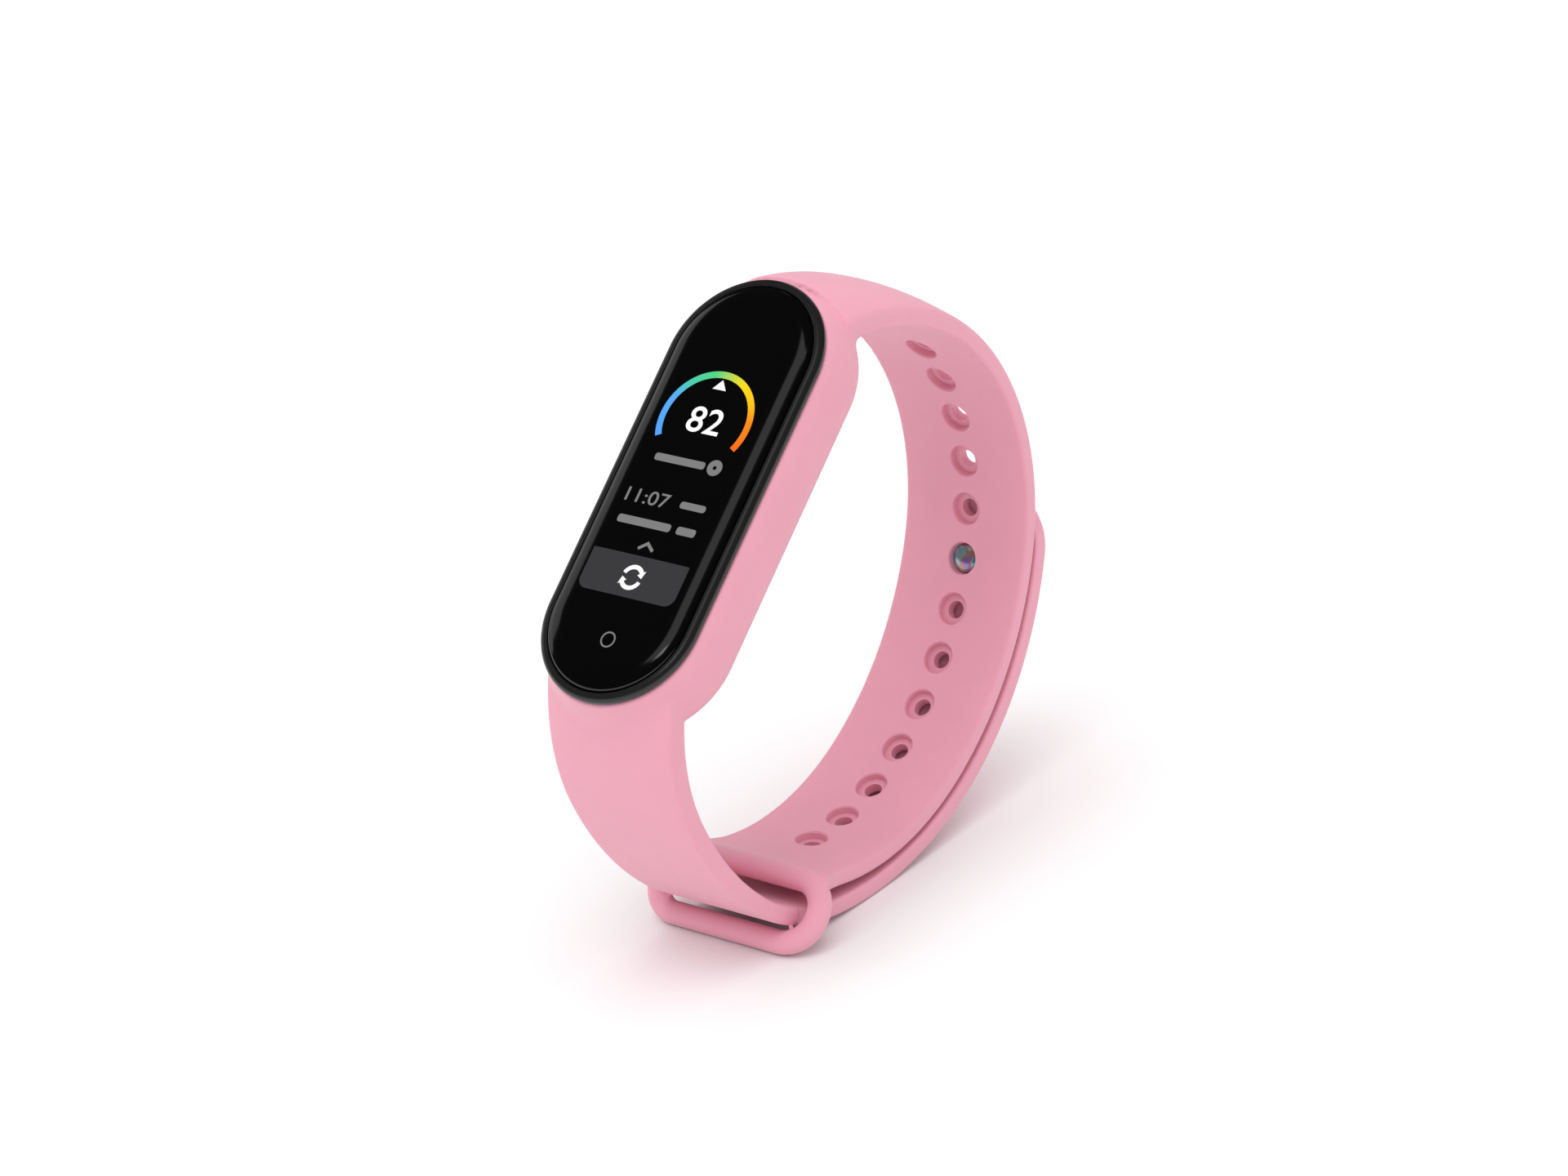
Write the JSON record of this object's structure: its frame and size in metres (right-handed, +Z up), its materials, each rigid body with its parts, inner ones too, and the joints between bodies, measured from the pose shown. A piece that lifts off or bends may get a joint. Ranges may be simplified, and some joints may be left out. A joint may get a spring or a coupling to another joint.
{
  "type": "fitness tracker band",
  "caption": "Wrist fitness tracker: a pill-shaped touchscreen capsule that pops out of a one-piece silicone strap with a keeper ring and a stud clasp.",
  "frame": {"origin": "on the supporting surface, under the centre of the band's bounding box", "axes": "+Z up from the surface; +X across the wrist, through the loop; the screen faces -Y and up, at 49 degrees from straight ahead"},
  "size_m": [0.0224, 0.067, 0.0649],
  "materials": {
    "strap_body": "matte moulded silicone",
    "strap_tail": "matte moulded silicone",
    "clasp_stud": "polished",
    "cover_glass": "polished, curved edge",
    "glass_adhesive": "matte",
    "bezel_housing": "gloss",
    "housing_seal": "matte",
    "rear_housing": "fine satin",
    "touch_sensor": "clear film",
    "display_panel": "gloss",
    "display_flex": "polyimide film",
    "main_board": "solder mask",
    "processor_chip": "moulded package",
    "power_chip": "moulded package",
    "motion_sensor_chip": "moulded package",
    "antenna": "ceramic-like",
    "battery": "foil pouch",
    "battery_protection_board": "solder mask",
    "battery_tab_left": "nickel strip",
    "battery_tab_right": "nickel strip",
    "motor_can": "drawn can",
    "motor_shaft": "ground",
    "motor_weight": "sintered tungsten",
    "sensor_board": "solder mask",
    "sensor_led_lower": "clear green",
    "sensor_led_upper": "clear green",
    "photodiode": "gloss",
    "light_barrier": "matte",
    "sensor_window": "polished",
    "charging_contact_left": "gold plate",
    "charging_contact_right": "gold plate",
    "charging_magnet_lower": "nickel plate",
    "charging_magnet_upper": "nickel plate"
  },
  "bodies": {
    "strap": {"strap_body": "strap_body"},
    "clasp_tail": {"strap_tail": "strap_tail", "clasp_stud": "clasp_stud"},
    "motor_rotor": {"motor_shaft": "motor_shaft", "motor_weight": "motor_weight"},
    "capsule": {"cover_glass": "cover_glass", "glass_adhesive": "glass_adhesive", "bezel_housing": "bezel_housing", "housing_seal": "housing_seal", "rear_housing": "rear_housing", "touch_sensor": "touch_sensor", "display_panel": "display_panel", "display_flex": "display_flex", "main_board": "main_board", "processor_chip": "processor_chip", "power_chip": "power_chip", "motion_sensor_chip": "motion_sensor_chip", "antenna": "antenna", "battery": "battery", "battery_protection_board": "battery_protection_board", "battery_tab_left": "battery_tab_left", "battery_tab_right": "battery_tab_right", "motor_can": "motor_can", "sensor_board": "sensor_board", "sensor_led_lower": "sensor_led_lower", "sensor_led_upper": "sensor_led_upper", "photodiode": "photodiode", "light_barrier": "light_barrier", "sensor_window": "sensor_window", "charging_contact_left": "charging_contact_left", "charging_contact_right": "charging_contact_right", "charging_magnet_lower": "charging_magnet_lower", "charging_magnet_upper": "charging_magnet_upper"}
  },
  "joints": [
    {"name": "capsule_pop_out", "type": "slide", "parent": "strap", "child": "capsule", "axis": [0, -0.6542, 0.7563], "range_m": [0, 0.014]},
    {"name": "clasp_peel", "type": "hinge", "parent": "strap", "child": "clasp_tail", "pos_m": [0, 0.02496, 0.01292], "axis": [-1, 0, 0], "range_deg": [0, 50]},
    {"name": "motor_spin", "type": "hinge", "parent": "capsule", "child": "motor_rotor", "pos_m": [0, -0.02072, 0.03772], "axis": [1, 0, 0], "continuous": true}
  ]
}
